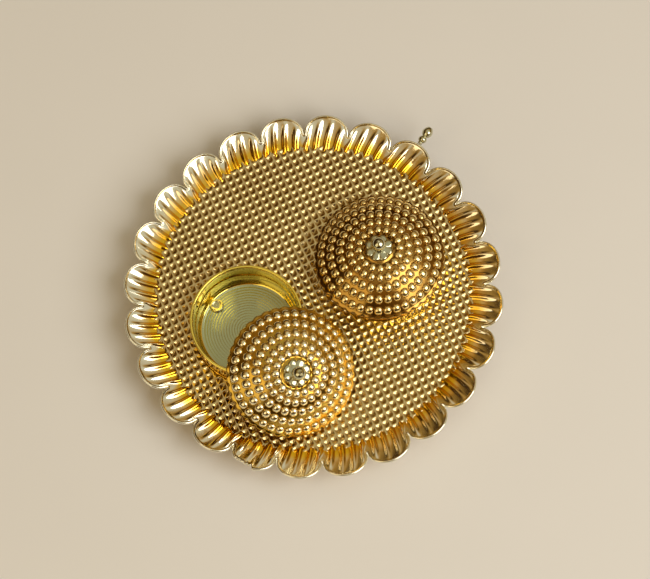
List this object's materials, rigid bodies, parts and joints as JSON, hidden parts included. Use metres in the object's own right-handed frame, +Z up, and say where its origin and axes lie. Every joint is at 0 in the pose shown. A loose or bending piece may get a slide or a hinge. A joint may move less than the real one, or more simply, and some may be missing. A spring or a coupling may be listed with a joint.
{
  "type": "kumkum plate",
  "caption": "Round petalled kumkum plate with a studded floor, a riveted pair of bowls and a beaded lid with a ball knob for each.",
  "frame": {"origin": "middle of the plate, level with the foot ring's base", "axes": "+Z up out of the plate, +X from the open bowl to the covered bowl, +Y away from the leaning lid"},
  "size_m": [0.11, 0.11, 0.0329],
  "materials": {
    "plate_gold": "bright gold plate",
    "bowl_gold": "bright gold plate",
    "lid_gold": "bright gold plate",
    "pale_gold": "pale polished gold plate"
  },
  "bodies": {
    "plate_with_bowls": {"plate": "plate_gold", "foot_ring": "plate_gold", "rim_peg": "pale_gold", "left_bowl": "bowl_gold", "left_bowl_rivet_1": "pale_gold", "left_bowl_rivet_2": "pale_gold", "right_bowl": "bowl_gold", "right_bowl_rivet_1": "pale_gold", "right_bowl_rivet_2": "pale_gold"},
    "left_lid_body": {"left_lid": "lid_gold", "left_lid_flower": "pale_gold", "left_lid_knob": "pale_gold", "left_lid_nut": "pale_gold"},
    "right_lid_body": {"right_lid": "lid_gold", "right_lid_flower": "pale_gold", "right_lid_knob": "pale_gold", "right_lid_nut": "pale_gold"}
  },
  "joints": [
    {"name": "left_lid_lift", "type": "slide", "parent": "plate_with_bowls", "child": "left_lid_body", "axis": [0, 0, 1], "range_m": [0, 0.04]},
    {"name": "right_lid_lift", "type": "slide", "parent": "plate_with_bowls", "child": "right_lid_body", "axis": [0, 0, 1], "range_m": [0, 0.04]}
  ]
}
